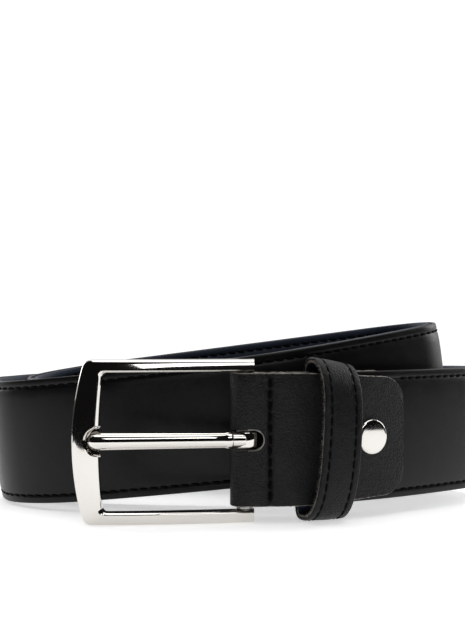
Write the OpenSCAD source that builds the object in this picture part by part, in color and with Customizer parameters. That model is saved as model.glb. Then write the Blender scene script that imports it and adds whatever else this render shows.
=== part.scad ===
// Dress belt, coiled on its edge, with a pin buckle.
// The coil is one chain of tangent arcs. +Z is up and the strap stands on Z = 0.

/* [Strap] */
// Height of the strap, edge to edge
strap_w = 35; // [30:1:38]
// Thickness of the finished strap at its crown
strap_t = 4; // [3.6:0.1:4]
// Thickness of the outer leather at the edges
outer_t = 1; // [0.8:0.1:1.2]
// Thickness of the lining
lining_t = 1.2; // [0.8:0.1:1.4]
// Distance of the stitch rows from the edges
stitch_inset = 2.2; // [1.8:0.1:3]
// Width of the sewing thread
thread_w = 0.7; // [0.5:0.1:1]
// Height of the thread above the leather
thread_t = 0.3; // [0.2:0.1:0.4]

/* [Buckle] */
// Height of the buckle frame
frame_h = 43; // [42:0.5:45]
// Height of the upper and lower rails
rail_h = 3.4; // [3:0.1:3.6]
// Width of the left bar at its middle
bar_w = 7; // [6:0.5:8]
// Diameter of the upright bar inside the fold
pin_d = 4.4; // [4:0.1:4.4]
// Diameter of the bar's ends in the rails
pin_end_d = 2.8; // [2.4:0.1:3]
// Diameter of the prong's shank
prong_d = 4.2; // [3.8:0.1:4.2]
// Radial clearance of a turning fit
fit_gap = 0.05; // [0.02:0.01:0.08]

/* [Chape] */
// Thickness of the chape leather
chape_t = 1.6; // [1.4:0.1:1.6]
// Height of the chape at its tab
tab_w = 32; // [31:0.5:34]
// Corner radius of the tab
tab_r = 5.5; // [3:0.5:8]
// Height of the slot for the prong
slot_h = 5.2; // [5:0.1:6]
// Diameter of the rivet's head
rivet_d = 9.6; // [8:0.1:10]
// Height of the rivet's dome
rivet_h = 1.6; // [1.2:0.1:2]
// Diameter of the rivet's post
post_d = 3; // [2.5:0.1:3.5]

/* [Keeper] */
// Width of the keeper along the strap
keeper_w = 11.6; // [10:0.2:12]
// Height of the keeper
keeper_h = 42; // [41:0.5:43]
// Room in the keeper in front of the chape, for the strap's tip
keeper_room = 5.8; // [5.6:0.1:6]
// Thickness of each of the keeper's two plies
ply_t = 0.75; // [0.6:0.05:0.8]

/* [Hidden] */

black = [0.05, 0.05, 0.055];
dark = [0.1, 0.1, 0.12];
thread_black = [0.03, 0.03, 0.03];
chrome = [0.8, 0.8, 0.78];
steel = [0.55, 0.55, 0.56];

// ---- Plan of the coil ----
// Everything below is laid out from the front of the buckle's fold, then moved
// by this much so that the origin is under the middle of the whole belt.
to_origin = [-0.9, -39.2, 0];
// Start of the strap's middle line, its heading, and its arcs as [radius, turn]
path_start = [8.65, 3.95];
path_heading = 2.5;
arcs = [[46, 27.5], [150, 7], [220, 7],                     // front, under the chape
        [22, 106], [36, 18], [245, 20], [58, 19],           // right bend and back
        [26, 113], [45, 25], [560, 4], [40, 36], [150, 16], // left bend, second front
        [17, 104], [24, 25], [270, 16], [55, 18],           // second back
        [17.5, 118], [42, 24], [450, 4], [36, 37], [90, 18],
        [10, 107], [24, 18], [260, 14], [46, 16],           // third back
        [12, 116], [24, 34], [300, 6], [34, 34], [50, 14],
        [6.5, 108], [20, 20], [200, 8]];                    // innermost turn

// Headings at the start of each arc, lengths, and the points where arcs meet
function sum_to(list, n) = n <= 0 ? 0 : list[n - 1] + sum_to(list, n - 1);
turns = [for (a = arcs) a[1]];
lengths = [for (a = arcs) a[0] * a[1] * PI / 180];
headings = [for (i = [0 : len(arcs)]) path_heading + sum_to(turns, i)];
starts = [for (i = [0 : len(arcs)]) sum_to(lengths, i)];
steps = [for (i = [0 : len(arcs) - 1]) arcs[i][0] * [
            sin(headings[i + 1]) - sin(headings[i]),
            cos(headings[i]) - cos(headings[i + 1])]];
function joint(i) = i <= 0 ? path_start : joint(i - 1) + steps[i - 1];
joints = [for (i = [0 : len(arcs)]) joint(i)];
centres = [for (i = [0 : len(arcs) - 1])
              joints[i] + arcs[i][0] * [-sin(headings[i]), cos(headings[i])]];
strap_length = starts[len(arcs)];

// Ring stations along the middle line, each [distance, heading, x, y]
ring_turn = 7;
ring_gap = 14;
function station(i, f) = let (h = headings[i] + f * arcs[i][1])
    [starts[i] + f * lengths[i], h,
     centres[i][0] + arcs[i][0] * sin(h), centres[i][1] - arcs[i][0] * cos(h)];
stations = [for (i = [0 : len(arcs) - 1])
               let (n = ceil(max(arcs[i][1] / ring_turn, lengths[i] / ring_gap)))
               for (k = [0 : n - 1]) station(i, k / n),
            station(len(arcs) - 1, 1)];

// ---- Height and lean of the strap ----
// The fold stands higher than the rest, and the second turn lies tilted on the
// first one, rising to the right. The inner turns rise with it, but less at the back.
fold_z = 4.4;
fold_fade = [60, 230];
tilt_x = 0.113;
tilt_xx = 0.000128;
tilt_y = 0.03;
tilt_from = [-64, 12];
tilt_in = [190, 270];
sink_y = 0.0147;
sink_in = [522, 600];
function smooth(a, b, s) = let (u = min(max((s - a) / (b - a), 0), 1)) u * u * (3 - 2 * u);
function tilt(s) = smooth(tilt_in[0], tilt_in[1], s);
function slope_z(x, y, sink) = (tilt_x * x + tilt_xx * x * x) * (1 - sink * sink_y * y)
    + (1 - sink) * tilt_y * y;
function lift(p) = fold_z * (1 - smooth(fold_fade[0], fold_fade[1], p[0]))
    + tilt(p[0]) * slope_z(max(p[2] - tilt_from[0], 0), p[3] - tilt_from[1],
                           smooth(sink_in[0], sink_in[1], p[0]));
function lean(p) = let (v = [-tilt(p[0]) * tilt_x, -tilt(p[0]) * tilt_y, 1]) v / norm(v);
// A point n outwards from the middle line and h up the strap's own height
function on_strap(p, n, h) = [p[2], p[3], lift(p)] + n * [sin(p[1]), -cos(p[1]), 0] + h * lean(p);

// A band along the stations, whose section is a list of [n, h]
module band(list, section) {
    m = len(section);
    last = len(list) - 1;
    points = [for (p = list) for (q = section) on_strap(p, q[0], q[1])];
    sides = [for (i = [0 : last - 1]) for (j = [0 : m - 1])
                let (k = (j + 1) % m)
                [[i * m + j, (i + 1) * m + k, i * m + k], [i * m + j, (i + 1) * m + j, (i + 1) * m + k]]];
    faces = [for (pair = sides) for (f = pair) f];
    start_cap = [for (j = [0 : m - 1]) j];
    end_cap = [for (j = [m - 1 : -1 : 0]) last * m + j];
    translate(to_origin) polyhedron(points, concat(faces, [start_cap], [end_cap]), convexity = 10);
}

// ---- Sections of the strap ----
half_t = strap_t / 2;
edge_n = 1.2;
outer_n = edge_n - outer_t;
lining_n = -half_t + lining_t;
glue_t = 0.05;
shoulder_n = 1.7;
crown_h = 8;
trim = 0.2;
outer_section = [[outer_n, 0], [edge_n, 0], [shoulder_n, stitch_inset], [half_t, crown_h],
                 [half_t, strap_w - crown_h], [shoulder_n, strap_w - stitch_inset],
                 [edge_n, strap_w], [outer_n, strap_w]];
core_section = [[lining_n + glue_t, trim], [outer_n - glue_t, trim],
                [outer_n - glue_t, strap_w - trim], [lining_n + glue_t, strap_w - trim]];
lining_section = [[-half_t, trim], [lining_n, trim], [lining_n, strap_w - trim], [-half_t, strap_w - trim]];
function thread_section(n, h) = [[n, h - thread_w / 2], [n + thread_t, h - thread_w / 2],
                                 [n + thread_t, h + thread_w / 2], [n, h + thread_w / 2]];
rows = [stitch_inset, strap_w - stitch_inset];
sewn_from = 42;
unsewn_end = 5;
sewn = [for (p = stations) if (p[0] > sewn_from && p[0] < strap_length - unsewn_end) p];
// The thread lies this far off the leather, which its facets would otherwise cut
thread_gap = 0.1;

// ---- Holes near the tip ----
hole_d = 4;
hole_gap = 25;
hole_end = 100;
hole_count = 5;
function place_at(s) = let (i = max([for (k = [0 : len(arcs) - 1]) if (starts[k] <= s) k]))
    station(i, (s - starts[i]) / lengths[i]);
// Moves a shape drawn along +Z to point outwards at distance s and height h
module outward(s, n, h) {
    p = place_at(s);
    translate(to_origin + on_strap(p, n, h)) rotate([0, 0, p[1]]) rotate([90, 0, 0]) children();
}
module tip_holes() {
    for (i = [0 : hole_count - 1])
        outward(strap_length - hole_end - i * hole_gap, -strap_t, strap_w / 2)
            cylinder(d = hole_d, h = 2 * strap_t, $fn = 32);
}

// ---- Rivet ----
rivet_s = 28.8;
rivet_z = 17.5;
post_gap = 0.02;
flange_d = 7;
flange_t = 0.6;
// Room behind the strap for its facets, and for the flat flange on the curved leg
back_gap = 0.1;
flange_gap = 0.16;
module rivet_hole() {
    outward(rivet_s, -2 * strap_t, rivet_z) cylinder(d = post_d + 2 * post_gap, h = 4 * strap_t, $fn = 48);
}
module strap_layer(section) {
    difference() {
        band(stations, section);
        tip_holes();
        rivet_hole();
    }
}
module strap_outer() {
    color(black) strap_layer(outer_section);
}
module strap_core() {
    color(dark) strap_layer(core_section);
}
module strap_lining() {
    color(dark) strap_layer(lining_section);
}
module strap_needle_thread() {
    color(thread_black) for (h = rows) band(sewn, thread_section(shoulder_n + thread_gap, h));
}
module strap_bobbin_thread() {
    color(thread_black) for (h = rows) band(sewn, thread_section(-half_t - thread_gap - thread_t, h));
}
leg_out = half_t + chape_t;
flange_n = -leg_out - back_gap - flange_gap - flange_t;
module rivet_cap() {
    dome_r = (rivet_d * rivet_d / 4 + rivet_h * rivet_h) / (2 * rivet_h);
    color(chrome) outward(rivet_s, leg_out, rivet_z) intersection() {
        translate([0, 0, rivet_h - dome_r]) sphere(r = dome_r, $fn = 96);
        cylinder(d = rivet_d, h = rivet_h, $fn = 64);
    }
}
module rivet_post() {
    color(steel) {
        outward(rivet_s, flange_n, rivet_z) cylinder(d = post_d, h = leg_out - flange_n, $fn = 48);
        outward(rivet_s, flange_n, rivet_z) cylinder(d = flange_d, h = flange_t, $fn = 48);
    }
}

// ---- Chape ----
bar_at = [3.2, 3.9];
bore_r = pin_d / 2 + fit_gap;
fold_r = bore_r + chape_t;
mid_z = fold_z + strap_w / 2;
tab_end_x = 47.7;
slot_end_x = 8.2;
// How far the front leg runs past the second arc's end and the back leg stops short, in degrees
tab_turn = 1;
back_turn = 2;
slot_reach = 8;
seam_x = 9.9;
// A piece of ring round the centre of arc i, from heading a to b, n0 to n1 outwards
module ring_sector(i, a, b, n0, n1) {
    reach = 2 * arcs[i][0];
    translate(centres[i]) intersection() {
        difference() {
            circle(r = arcs[i][0] + n1, $fn = 180);
            circle(r = arcs[i][0] + n0, $fn = 180);
        }
        polygon([[0, 0], reach * [sin(a), -cos(a)], reach * [sin(b), -cos(b)]]);
    }
}
function at_start(n) = path_start + n * [sin(path_heading), -cos(path_heading)];
// Neighbouring pieces of a leg overlap by this many degrees
lap = 0.5;
module leg_plan(side, end_heading) {
    near = side > 0 ? half_t : -leg_out - back_gap;
    face = side > 0 ? half_t : -half_t - back_gap;
    ring_sector(0, headings[0] - lap, headings[1], near, near + chape_t);
    ring_sector(1, headings[1] - lap, end_heading, near, near + chape_t);
    polygon([bar_at + [-lap, -side * fold_r], bar_at + [0, -side * fold_r], at_start(face + side * chape_t),
             at_start(face), bar_at + [0, -side * bore_r], bar_at + [-lap, -side * bore_r]]);
}
module fold_plan() {
    difference() {
        translate(bar_at) circle(r = fold_r, $fn = 96);
        translate(bar_at) circle(r = bore_r, $fn = 96);
        translate(bar_at + [0, -2 * fold_r]) square([2 * fold_r, 4 * fold_r]);
    }
}
module tab_outline() {
    end_drop = (strap_w - tab_w) / 2;
    low = fold_z + end_drop;
    high = fold_z + strap_w - end_drop;
    polygon([[-fold_r, fold_z], [seam_x, fold_z], [tab_end_x - tab_r, low], [tab_end_x, low + tab_r],
             [tab_end_x, high - tab_r], [tab_end_x - tab_r, high], [seam_x, fold_z + strap_w],
             [-fold_r, fold_z + strap_w]]);
    for (z = [low + tab_r, high - tab_r]) translate([tab_end_x - tab_r, z]) circle(r = tab_r, $fn = 64);
}
// Front and back of the chape where the seam runs, and the groove that holds the thread
skin_y = [0.4, 7.7];
groove_w = 1.1;
groove_t = 0.5;
module groove() {
    for (y = [skin_y[0] + groove_t - slot_reach, skin_y[1] - groove_t])
        translate([seam_x - groove_w / 2, y, 0]) cube([groove_w, slot_reach, frame_h]);
}
module chape() {
    color(black) translate(to_origin) difference() {
        intersection() {
            linear_extrude(frame_h) {
                fold_plan();
                leg_plan(1, headings[2] + tab_turn);
                leg_plan(-1, headings[2] - back_turn);
            }
            translate([0, 2 * frame_h, 0]) rotate([90, 0, 0]) linear_extrude(3 * frame_h) tab_outline();
        }
        translate([-slot_reach, -slot_reach, mid_z - slot_h / 2])
            cube([slot_reach + slot_end_x - slot_h / 2, 3 * slot_reach, slot_h]);
        translate([slot_end_x - slot_h / 2, 2 * slot_reach, mid_z])
            rotate([90, 0, 0]) cylinder(d = slot_h, h = 3 * slot_reach, $fn = 48);
        groove();
        translate(-to_origin) rivet_hole();
    }
}
module chape_thread() {
    pitch = 3;
    stitch = 2.3;
    thread_r = 0.3;
    inward = groove_t - thread_r - fit_gap;
    rise = (strap_w - floor(strap_w / pitch) * pitch) / 2;
    count = floor(strap_w / pitch);
    color(thread_black) for (y = [skin_y[0] + inward, skin_y[1] - inward], i = [0 : count - 1])
        translate(to_origin + [seam_x, y, fold_z + rise + i * pitch])
            cylinder(r = thread_r, h = stitch, $fn = 24);
}

// ---- Buckle ----
frame_x = [-41.7, 5.7];
side_sag = 3.3;
inner_sag = 1;
frame_depth = [5.2, 4.6];
front_y = [1.3, -4.4];
notch_r = 3.6;
// Front face of the frame at x, bowed forward towards the left bar
function face_y(x) = let (u = (frame_x[1] - x) / (frame_x[1] - frame_x[0]))
    front_y[0] + (front_y[1] - front_y[0]) * sin(90 * u);
function depth_at(x) = let (u = (frame_x[1] - x) / (frame_x[1] - frame_x[0]))
    frame_depth[0] + (frame_depth[1] - frame_depth[0]) * u;
module frame_plan() {
    n = 16;
    xs = [for (i = [0 : n]) frame_x[0] + (frame_x[1] - frame_x[0]) * i / n];
    polygon(concat([for (x = xs) [x, face_y(x)]],
                   [for (i = [n : -1 : 0]) [xs[i], face_y(xs[i]) + depth_at(xs[i])]]));
}
// A disc whose left side passes through x with the given sag over height h
module bowed_side(x, sag, h) {
    r = (h * h / 4 + sag * sag) / (2 * sag);
    translate([x + r, frame_h / 2]) circle(r = r, $fn = 360);
}
module frame_outline() {
    inner_x = frame_x[0] + bar_w;
    difference() {
        intersection() {
            translate([frame_x[0] - 1, 0]) square([frame_x[1] - frame_x[0] + 1, frame_h]);
            bowed_side(frame_x[0], side_sag, frame_h);
        }
        intersection() {
            translate([inner_x - 1, rail_h]) square([frame_x[1] - inner_x + 2, frame_h - 2 * rail_h]);
            bowed_side(inner_x, inner_sag, frame_h - 2 * rail_h);
        }
    }
}
prong_tip = [-35.5, -3.35];
prong_root = [2.3, 1.05];
prong_turn = atan2(prong_root[1] - prong_tip[1], prong_root[0] - prong_tip[0]);
module buckle_frame() {
    notch_x = prong_tip[0] + 1;
    color(chrome) translate(to_origin) difference() {
        intersection() {
            linear_extrude(frame_h) frame_plan();
            translate([0, frame_h, 0]) rotate([90, 0, 0]) linear_extrude(2 * frame_h) frame_outline();
        }
        translate([notch_x, prong_tip[1] + prong_d / 2 + fit_gap, mid_z])
            rotate([90, 0, 0]) cylinder(r = notch_r, h = 2 * prong_d, $fn = 64);
        translate([bar_at[0], bar_at[1], -1]) cylinder(d = pin_end_d, h = frame_h + 2, $fn = 48);
    }
}
module buckle_bar() {
    recess = 0.2;
    color(steel) translate(to_origin + [bar_at[0], bar_at[1], 0]) {
        translate([0, 0, rail_h]) cylinder(d = pin_d, h = frame_h - 2 * rail_h, $fn = 64);
        translate([0, 0, recess]) cylinder(d = pin_end_d, h = frame_h - 2 * recess, $fn = 48);
    }
}
knuckle_h = 4.2;
knuckle_r = 4.05;
collar_d = 4.9;
collar_w = 1.8;
collar_at = 2.2;
module prong() {
    shank = norm(prong_root - prong_tip);
    color(chrome) translate(to_origin) difference() {
        union() {
            translate([bar_at[0], bar_at[1], mid_z - knuckle_h / 2])
                cylinder(r = knuckle_r, h = knuckle_h, $fn = 64);
            translate([prong_root[0], prong_root[1], mid_z]) rotate([0, -90, prong_turn]) {
                cylinder(d = prong_d, h = shank, $fn = 48);
                translate([0, 0, shank]) sphere(d = prong_d, $fn = 48);
                translate([0, 0, collar_at]) cylinder(d = collar_d, h = collar_w, $fn = 48);
            }
        }
        translate([bar_at[0], bar_at[1], 0]) cylinder(r = bore_r, h = frame_h, $fn = 64);
    }
}

// ---- Keeper ----
// It is bent to the strap's first arc, and slides along it by turning about the arc's centre
keeper_heading = 22.6;
keeper_gap = 0.45;
keeper_corner = 3.5;
thread_inset = 2;
keeper_n = [-leg_out - keeper_gap - 2 * ply_t, leg_out + keeper_room + 2 * ply_t];
module rounded(w, h, r) {
    translate([r, 0]) square([w - 2 * r, h]);
    translate([0, r]) square([w, h - 2 * r]);
    for (x = [r, w - r], y = [r, h - r]) translate([x, y]) circle(r = r, $fn = 64);
}
// Section of the ring, in by e from its outer faces and t thick
module keeper_section(e, t) {
    w = keeper_n[1] - keeper_n[0];
    translate([arcs[0][0] + keeper_n[0], 0]) difference() {
        translate([e, e]) rounded(w - 2 * e, keeper_h - 2 * e, keeper_corner - e);
        translate([e + t, e + t]) rounded(w - 2 * (e + t), keeper_h - 2 * (e + t), keeper_corner - e - t);
    }
}
module keeper_ring(e, t, from_mm, width) {
    degrees = width / arcs[0][0] * 180 / PI;
    from = keeper_heading - 90 + (from_mm - keeper_w / 2) / arcs[0][0] * 180 / PI;
    translate(to_origin + [centres[0][0], centres[0][1], 0])
        rotate([0, 0, from]) rotate_extrude(angle = degrees, $fn = 180) keeper_section(e, t);
}
module keeper_outer() {
    sunk = thread_t / 2;
    color(black) difference() {
        keeper_ring(0, ply_t, 0, keeper_w);
        for (x = [thread_inset, keeper_w - thread_inset])
            keeper_ring(-1, 1 + sunk, x - thread_w / 2, thread_w);
    }
}
module keeper_lining() {
    color(dark) keeper_ring(ply_t, ply_t, 0, keeper_w);
}
module keeper_thread() {
    sunk = thread_t / 2;
    color(thread_black) for (x = [thread_inset, keeper_w - thread_inset])
        keeper_ring(0, sunk, x - thread_w / 2, thread_w);
}
module keeper_staple() {
    staple_w = 5;
    staple_h = 7;
    staple_t = 0.2;
    inner = arcs[0][0] + keeper_n[0] + 2 * ply_t;
    from = keeper_heading - 90 - staple_w / 2 / arcs[0][0] * 180 / PI;
    color(steel) translate(to_origin + [centres[0][0], centres[0][1], mid_z - staple_h / 2])
        rotate([0, 0, from]) rotate_extrude(angle = staple_w / arcs[0][0] * 180 / PI, $fn = 180)
            translate([inner, 0]) square([staple_t, staple_h]);
}

strap_outer();
strap_core();
strap_lining();
strap_needle_thread();
strap_bobbin_thread();
chape();
chape_thread();
rivet_cap();
rivet_post();
buckle_frame();
buckle_bar();
prong();
keeper_outer();
keeper_lining();
keeper_thread();
keeper_staple();
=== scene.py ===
"""A dress belt coiled on its edge, laid out as an add-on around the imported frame."""

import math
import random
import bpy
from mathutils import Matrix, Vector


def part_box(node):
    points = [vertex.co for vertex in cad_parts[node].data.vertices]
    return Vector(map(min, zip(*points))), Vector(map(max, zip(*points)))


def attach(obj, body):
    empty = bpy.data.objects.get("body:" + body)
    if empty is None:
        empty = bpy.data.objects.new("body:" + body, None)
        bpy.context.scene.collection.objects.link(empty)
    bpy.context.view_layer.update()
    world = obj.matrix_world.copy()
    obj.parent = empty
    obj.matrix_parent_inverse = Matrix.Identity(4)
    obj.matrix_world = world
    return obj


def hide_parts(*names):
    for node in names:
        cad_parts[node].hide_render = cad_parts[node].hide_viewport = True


bl_info = {
    "name": "Coiled dress belt",
    "version": (1, 0, 0),
    "blender": (4, 5, 0),
    "location": "3D View > Sidebar > Belt",
    "description": "Builds the leather, thread and plated metal of a coiled dress belt",
    "category": "Add Mesh",
}

import bmesh
import bpy
from mathutils import Matrix, Vector, noise

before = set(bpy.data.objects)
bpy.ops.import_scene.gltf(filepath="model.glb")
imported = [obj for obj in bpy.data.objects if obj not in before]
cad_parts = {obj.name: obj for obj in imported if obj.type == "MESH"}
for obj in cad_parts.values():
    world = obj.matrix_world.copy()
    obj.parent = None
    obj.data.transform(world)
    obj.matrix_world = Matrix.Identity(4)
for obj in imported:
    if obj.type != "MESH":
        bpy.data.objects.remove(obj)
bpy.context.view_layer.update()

MM = 0.001
# The shapes are laid out in millimetres from the front of the buckle's fold, as in the part's
# source. The bar's axis ties that layout to the row's frame.
BAR = Vector((3.2, 3.9, 0.0))
_pin_low, _pin_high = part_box("buckle_bar")
_pin = (_pin_low + _pin_high) / 2
TO_ROW = Matrix.Translation((_pin.x, _pin.y, 0)) @ Matrix.Scale(MM, 4) @ Matrix.Translation(-BAR)


# ---------------------------------------------------------------- sizes and colours
def length(title, text, default):
    """A length property in metres."""
    return bpy.props.FloatProperty(name=title, description=text, default=default, unit="LENGTH")


def colour(title, text, default):
    """A colour property in linear light."""
    return bpy.props.FloatVectorProperty(
        name=title, description=text, default=default, subtype="COLOR", size=3, min=0, max=1)


class BeltSizes(bpy.types.PropertyGroup):
    """The belt's driving sizes"""
    strap_w: length("Strap width", "Height of the strap on its edge", 0.035)
    strap_t: length("Strap thickness", "Thickness at the crown", 0.004)
    stitch_inset: length("Stitch inset", "Distance of the stitch rows from the edge", 0.0022)
    stitch_pitch: length("Stitch pitch", "Distance from one stitch to the next", 0.0029)
    thread_r: length("Thread radius", "Radius of a stitch", 0.00033)
    chape_t: length("Chape thickness", "Thickness of the folded leather", 0.0016)
    keeper_w: length("Keeper width", "Width of the keeper along the strap", 0.011)
    ply_t: length("Ply thickness", "Thickness of each ply of the keeper", 0.00075)
    rivet_d: length("Rivet diameter", "Diameter of the domed head", 0.0096)
    hole_d: length("Hole diameter", "Diameter of the punched holes", 0.004)


class BeltColours(bpy.types.PropertyGroup):
    """The colours of its materials"""
    leather: colour("Leather", "Black of the smooth leather", (0.0042, 0.0042, 0.0046))
    chape: colour("Chape", "Black of the grained leather", (0.0036, 0.0036, 0.0041))
    lining: colour("Lining", "Dark of the lining", (0.012, 0.018, 0.033))
    thread: colour("Thread", "Black of the thread", (0.0015, 0.0015, 0.0018))
    raw: colour("Raw edge", "Undyed fibre of a cut edge", (0.40, 0.37, 0.33))
    plate: colour("Plate", "Warm white of the nickel plate", (0.72, 0.695, 0.66))
    steel: colour("Steel", "Grey of the plain steel", (0.46, 0.46, 0.45))
    floor: colour("Floor", "White of the floor", (0.86, 0.86, 0.86))


def sizes():
    """The sizes in millimetres, as a plain record."""
    group = bpy.context.scene.belt_sizes
    return {key: getattr(group, key) / MM for key in BeltSizes.__annotations__}


# ---------------------------------------------------------------- plan of the coil
START = Vector((8.65, 3.95))
HEADING = 2.5
# The strap's middle line from the buckle to the tip, as (radius, turn in degrees).
ARCS = [
    (46, 27.5), (150, 7), (220, 7),
    (22, 106), (36, 18), (245, 20), (58, 19),
    (26, 113), (45, 25), (560, 4), (40, 36), (150, 16),
    (17, 104), (24, 25), (270, 16), (55, 18),
    (17.5, 118), (42, 24), (450, 4), (36, 37), (90, 18),
    (10, 107), (24, 18), (260, 14), (46, 16),
    (12, 116), (24, 34), (300, 6), (34, 34), (50, 14),
    (6.5, 108), (20, 20), (200, 8),
]
# Heights: the fold stands a little off the floor, the turns behind it slope up to the right, and
# the inner turns sink again towards the back. FROM is a place, FADE and IN are distances.
FOLD_Z = 4.4
FOLD_FADE = (60, 230)
TILT = (0.113, 0.03)
TILT_CURVE = 0.000128
TILT_FROM = (-64, 12)
TILT_IN = (190, 270)
SINK_Y = 0.0147
SINK_IN = (522, 600)


def outwards(heading):
    """The direction out of the coil, and the one along it, at a heading in degrees."""
    a = math.radians(heading)
    return Vector((math.sin(a), -math.cos(a), 0)), Vector((math.cos(a), math.sin(a), 0))


def lay_out():
    """Each arc as (start distance, length, radius, start heading, turn, centre)."""
    laid = []
    at = START.to_3d()
    heading = HEADING
    run = 0.0
    for radius, turn in ARCS:
        reach = radius * math.radians(turn)
        centre = at - radius * outwards(heading)[0]
        laid.append((run, reach, radius, heading, turn, centre))
        heading += turn
        at = centre + radius * outwards(heading)[0]
        run += reach
    return laid


LAID = lay_out()
STRAP_END = LAID[-1][0] + LAID[-1][1]


def smooth(a, b, x):
    """An even step from 0 at a to 1 at b."""
    u = min(max((x - a) / (b - a), 0.0), 1.0)
    return u * u * (3 - 2 * u)


def on_path(s):
    """Point and heading of the strap's middle line at distance s."""
    run, reach, radius, heading, turn, centre = next(
        (row for row in reversed(LAID) if row[0] <= s), LAID[0])
    heading += turn * (s - run) / reach
    return centre + radius * outwards(heading)[0], heading


def strap_place(s):
    """Axes at distance s: out of the coil, along the strap, and up its height."""
    at, heading = on_path(s)
    out, along = outwards(heading)
    tilt = smooth(*TILT_IN, s)
    sink = smooth(*SINK_IN, s)
    x, y = max(at.x - TILT_FROM[0], 0), at.y - TILT_FROM[1]
    rise = (TILT[0] * x + TILT_CURVE * x * x) * (1 - sink * SINK_Y * y) + (1 - sink) * TILT[1] * y
    at.z = FOLD_Z * (1 - smooth(*FOLD_FADE, s)) + tilt * rise
    up = Vector((-tilt * TILT[0], -tilt * TILT[1], 1)).normalized()
    return axes(at, out, along, up)


def axes(at, x, y, z):
    """The place at a point with these three axes."""
    return Matrix((
        (x.x, y.x, z.x, at.x),
        (x.y, y.y, z.y, at.y),
        (x.z, y.z, z.z, at.z),
        (0, 0, 0, 1)))


def distances(start, end, turn_step, gap):
    """Distances from start to end, close together where the strap bends."""
    found = [start]
    for run, reach, _, _, turn, _ in LAID:
        n = math.ceil(max(turn / turn_step, reach / gap))
        found += [run + reach * k / n for k in range(n) if start < run + reach * k / n < end]
    return found + [end]


# ---------------------------------------------------------------- mesh tools
def sweep(section, places, close_ends=True):
    """A section of (x, z) points carried through the places by extruding and moving it."""
    bm = bmesh.new()
    ring = [bm.verts.new(places[0] @ Vector((x, 0, z))) for x, z in section]
    edges = [bm.edges.new((ring[i - 1], ring[i])) for i in range(len(ring))]
    if close_ends:
        bm.faces.new(ring)
    for a, b in zip(places, places[1:]):
        made = bmesh.ops.extrude_edge_only(bm, edges=edges)["geom"]
        verts = {v for v in made if isinstance(v, bmesh.types.BMVert)}
        edges = [e for e in made if isinstance(e, bmesh.types.BMEdge) and set(e.verts) <= verts]
        bmesh.ops.transform(bm, matrix=b @ a.inverted(), verts=list(verts))
    if close_ends:
        bmesh.ops.edgeloop_fill(bm, edges=edges)
    return bm


def close_round(bm):
    """Joins the first and last rings of a sweep that comes back to its start."""
    bmesh.ops.remove_doubles(bm, verts=bm.verts, dist=0.01)
    return bm


def lathe(profile, place, steps=48):
    """A profile of (radius, height) points spun round the place's third axis."""
    bm = bmesh.new()
    verts = [bm.verts.new((r, 0, z)) for r, z in profile]
    edges = [bm.edges.new(pair) for pair in zip(verts, verts[1:])]
    bmesh.ops.spin(bm, geom=verts + edges, cent=(0, 0, 0), axis=(0, 0, 1), dvec=(0, 0, 0),
                   angle=2 * math.pi, steps=steps, use_merge=True, use_duplicate=False)
    bmesh.ops.remove_doubles(bm, verts=bm.verts, dist=0.001)
    bmesh.ops.transform(bm, matrix=place, verts=bm.verts)
    bmesh.ops.recalc_face_normals(bm, faces=bm.faces)
    return bm


def rounded_box(x0, x1, z0, z1, r, steps=3):
    """The outline of a rectangle with rounded corners, as (x, z) points."""
    points = []
    corners = ((x1 - r, z0 + r, -90), (x1 - r, z1 - r, 0), (x0 + r, z1 - r, 90), (x0 + r, z0 + r, 180))
    for cx, cz, first in corners:
        for k in range(steps + 1):
            a = math.radians(first + 90 * k / steps)
            points.append((cx + r * math.cos(a), cz + r * math.sin(a)))
    return points


def carve(bm, cutter, operation="DIFFERENCE"):
    """Cuts the cutter out of bm, or joins it to bm, as exact solids."""
    holders = []
    for part in (bm, cutter):
        bmesh.ops.recalc_face_normals(part, faces=part.faces)
        mesh = bpy.data.meshes.new("solid")
        part.to_mesh(mesh)
        part.free()
        holder = bpy.data.objects.new("solid", mesh)
        bpy.context.scene.collection.objects.link(holder)
        holders.append(holder)
    modifier = holders[0].modifiers.new("carve", "BOOLEAN")
    modifier.operation = operation
    modifier.solver = "EXACT"
    modifier.object = holders[1]
    bpy.context.view_layer.update()
    result = bmesh.new()
    result.from_object(holders[0], bpy.context.evaluated_depsgraph_get())
    for holder in holders:
        mesh = holder.data
        bpy.data.objects.remove(holder)
        bpy.data.meshes.remove(mesh)
    return result


def paint_faces(bm, index, test):
    """Gives the faces whose middle passes the test another of the piece's materials."""
    for face in bm.faces:
        if test(face.calc_center_median(), face.normal):
            face.material_index = index


def piece(bm, name, body, materials, nodes=(), crease=40, outward=True):
    """Turns a bmesh into a finished object that rides on a body."""
    if outward:
        bmesh.ops.recalc_face_normals(bm, faces=bm.faces)
    limit = math.radians(crease)
    for face in bm.faces:
        face.smooth = True
    for edge in bm.edges:
        edge.smooth = edge.calc_face_angle(0) < limit
    bmesh.ops.transform(bm, matrix=TO_ROW, verts=bm.verts)
    mesh = bpy.data.meshes.new(name)
    bm.to_mesh(mesh)
    bm.free()
    obj = bpy.data.objects.new(name, mesh)
    bpy.context.scene.collection.objects.link(obj)
    for material in materials:
        mesh.materials.append(material)
    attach(obj, body)
    if nodes:
        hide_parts(*nodes)


def stitches(places, half_length, wide, high):
    """Beads along each place's second axis, all copies of one sphere drawn out."""
    bead = bmesh.new()
    shape = Matrix.Diagonal((high, half_length, wide, 1)) @ Matrix.Rotation(math.pi / 2, 4, "X")
    bmesh.ops.create_uvsphere(bead, u_segments=8, v_segments=6, radius=1.0, matrix=shape)
    bead.verts.index_update()
    bm = bmesh.new()
    for place in places:
        verts = [bm.verts.new(place @ v.co) for v in bead.verts]
        for face in bead.faces:
            bm.faces.new([verts[v.index] for v in face.verts])
    bead.free()
    return bm


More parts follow.
